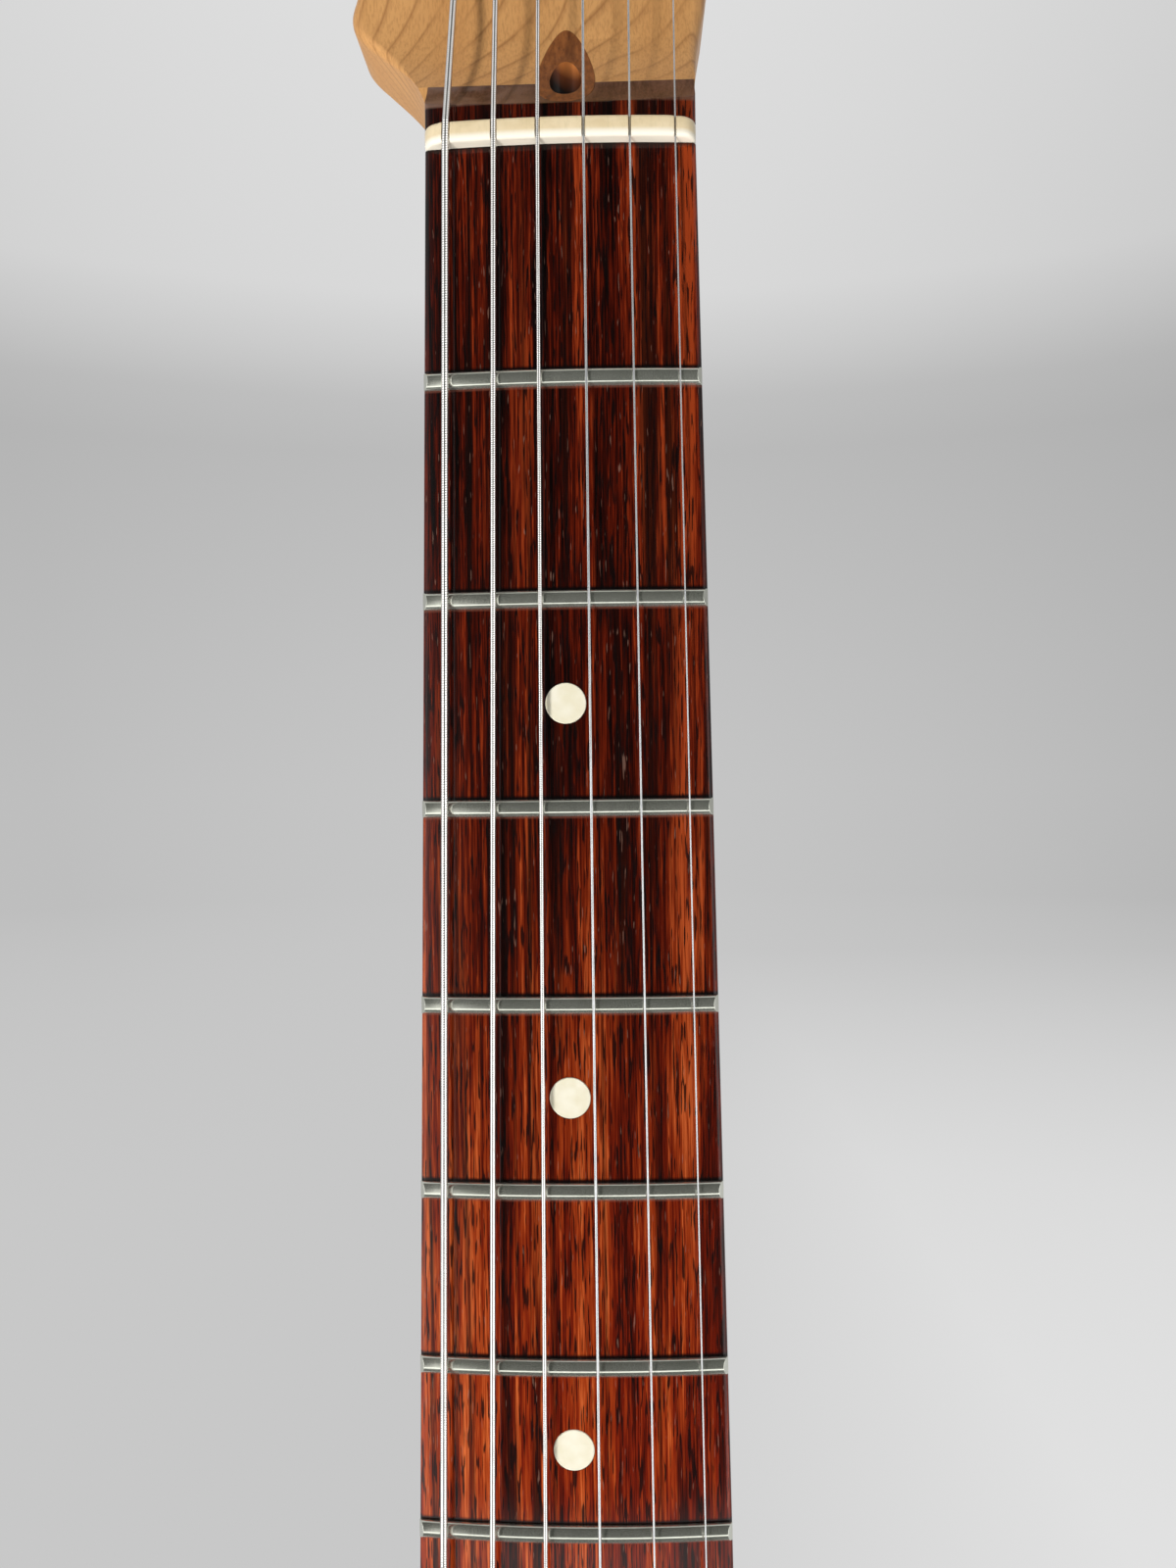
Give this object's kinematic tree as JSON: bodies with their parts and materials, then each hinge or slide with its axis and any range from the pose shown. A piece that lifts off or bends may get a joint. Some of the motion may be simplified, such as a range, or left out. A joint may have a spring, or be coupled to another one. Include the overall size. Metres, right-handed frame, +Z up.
{
  "type": "electric guitar neck",
  "caption": "Strung bolt-on electric guitar neck with fretted rosewood board, truss rod, nut and geared tuners in a row on one side of the headstock.",
  "frame": {"origin": "on the heel's flat back face, midway between the four screw holes", "axes": "+Z up the neck to the headstock, +Y out of the back of the heel, +X to the treble side; the fingerboard faces -Y"},
  "size_m": [0.0724, 0.0377, 0.6649],
  "materials": {
    "maple": "satin lacquered maple",
    "rosewood": "oiled, open-pored rosewood",
    "walnut": "satin walnut",
    "bone": "polished bone",
    "inlay": "polished cream dot",
    "fret_wire": "polished nickel silver",
    "wound_string": "nickel-plated wrap wire",
    "plain_string": "tinned steel wire",
    "steel": "bare steel",
    "plated_steel": "nickel plate"
  },
  "bodies": {
    "neck_body": {"neck": "maple", "fingerboard": "rosewood", "nut": "bone", "headstock_plug": "walnut", "back_stripe": "walnut", "truss_rod": "steel", "truss_rod_anchor": "steel", "fret_01": "fret_wire", "fret_02": "fret_wire", "fret_03": "fret_wire", "fret_04": "fret_wire", "fret_05": "fret_wire", "fret_06": "fret_wire", "fret_07": "fret_wire", "fret_08": "fret_wire", "fret_09": "fret_wire", "fret_10": "fret_wire", "fret_11": "fret_wire", "fret_12": "fret_wire", "fret_13": "fret_wire", "fret_14": "fret_wire", "fret_15": "fret_wire", "fret_16": "fret_wire", "fret_17": "fret_wire", "fret_18": "fret_wire", "fret_19": "fret_wire", "fret_20": "fret_wire", "fret_21": "fret_wire", "inlay_03": "inlay", "inlay_05": "inlay", "inlay_07": "inlay", "inlay_09": "inlay", "inlay_12_bass": "inlay", "inlay_12_treble": "inlay", "inlay_15": "inlay", "inlay_17": "inlay", "inlay_19": "inlay", "inlay_21": "inlay", "string_1": "wound_string", "string_2": "wound_string", "string_3": "wound_string", "string_4": "plain_string", "string_5": "plain_string", "string_6": "plain_string", "tuner_plate": "plated_steel", "string_tree": "plated_steel", "string_tree_screw": "plated_steel"},
    "truss_rod_nut": {"truss_rod_nut": "steel"},
    "tuner_key_1": {"tuner_key_1": "plated_steel"},
    "tuner_post_1": {"tuner_post_1": "plated_steel"},
    "tuner_key_2": {"tuner_key_2": "plated_steel"},
    "tuner_post_2": {"tuner_post_2": "plated_steel"},
    "tuner_key_3": {"tuner_key_3": "plated_steel"},
    "tuner_post_3": {"tuner_post_3": "plated_steel"},
    "tuner_key_4": {"tuner_key_4": "plated_steel"},
    "tuner_post_4": {"tuner_post_4": "plated_steel"},
    "tuner_key_5": {"tuner_key_5": "plated_steel"},
    "tuner_post_5": {"tuner_post_5": "plated_steel"},
    "tuner_key_6": {"tuner_key_6": "plated_steel"},
    "tuner_post_6": {"tuner_post_6": "plated_steel"}
  },
  "joints": [
    {"name": "truss_rod_nut_turn", "type": "hinge", "parent": "neck_body", "child": "truss_rod_nut", "pos_m": [0.0008, -0.0196, 0.41504], "axis": [0, -0.0349, 0.9994], "range_deg": [-360, 270]},
    {"name": "tuner_key_1_turn", "type": "hinge", "parent": "neck_body", "child": "tuner_key_1", "pos_m": [-0.01745, 0.00342, 0.47461], "axis": [-0.9588, 0, 0.284], "continuous": true},
    {"name": "tuner_post_1_turn", "type": "hinge", "parent": "neck_body", "child": "tuner_post_1", "pos_m": [-0.0194, 0.00342, 0.46804], "axis": [0, 1, 0], "continuous": true},
    {"name": "tuner_key_2_turn", "type": "hinge", "parent": "neck_body", "child": "tuner_key_2", "pos_m": [-0.0106, 0.00342, 0.49776], "axis": [-0.9588, 0, 0.284], "continuous": true},
    {"name": "tuner_post_2_turn", "type": "hinge", "parent": "neck_body", "child": "tuner_post_2", "pos_m": [-0.01254, 0.00342, 0.49119], "axis": [0, 1, 0], "continuous": true},
    {"name": "tuner_key_3_turn", "type": "hinge", "parent": "neck_body", "child": "tuner_key_3", "pos_m": [-0.00374, 0.00342, 0.52092], "axis": [-0.9588, 0, 0.284], "continuous": true},
    {"name": "tuner_post_3_turn", "type": "hinge", "parent": "neck_body", "child": "tuner_post_3", "pos_m": [-0.00568, 0.00342, 0.51435], "axis": [0, 1, 0], "continuous": true},
    {"name": "tuner_key_4_turn", "type": "hinge", "parent": "neck_body", "child": "tuner_key_4", "pos_m": [0.00312, 0.00342, 0.54407], "axis": [-0.9588, 0, 0.284], "continuous": true},
    {"name": "tuner_post_4_turn", "type": "hinge", "parent": "neck_body", "child": "tuner_post_4", "pos_m": [0.00118, 0.00342, 0.5375], "axis": [0, 1, 0], "continuous": true},
    {"name": "tuner_key_5_turn", "type": "hinge", "parent": "neck_body", "child": "tuner_key_5", "pos_m": [0.00998, 0.00342, 0.56723], "axis": [-0.9588, 0, 0.284], "continuous": true},
    {"name": "tuner_post_5_turn", "type": "hinge", "parent": "neck_body", "child": "tuner_post_5", "pos_m": [0.00804, 0.00342, 0.56066], "axis": [0, 1, 0], "continuous": true},
    {"name": "tuner_key_6_turn", "type": "hinge", "parent": "neck_body", "child": "tuner_key_6", "pos_m": [0.01684, 0.00342, 0.59038], "axis": [-0.9588, 0, 0.284], "continuous": true},
    {"name": "tuner_post_6_turn", "type": "hinge", "parent": "neck_body", "child": "tuner_post_6", "pos_m": [0.01489, 0.00342, 0.58382], "axis": [0, 1, 0], "continuous": true}
  ],
  "couplings": [
    {"joint": "tuner_post_1_turn", "follows": "tuner_key_1_turn", "ratio": 0.071429},
    {"joint": "tuner_post_2_turn", "follows": "tuner_key_2_turn", "ratio": 0.071429},
    {"joint": "tuner_post_3_turn", "follows": "tuner_key_3_turn", "ratio": 0.071429},
    {"joint": "tuner_post_4_turn", "follows": "tuner_key_4_turn", "ratio": 0.071429},
    {"joint": "tuner_post_5_turn", "follows": "tuner_key_5_turn", "ratio": 0.071429},
    {"joint": "tuner_post_6_turn", "follows": "tuner_key_6_turn", "ratio": 0.071429}
  ]
}
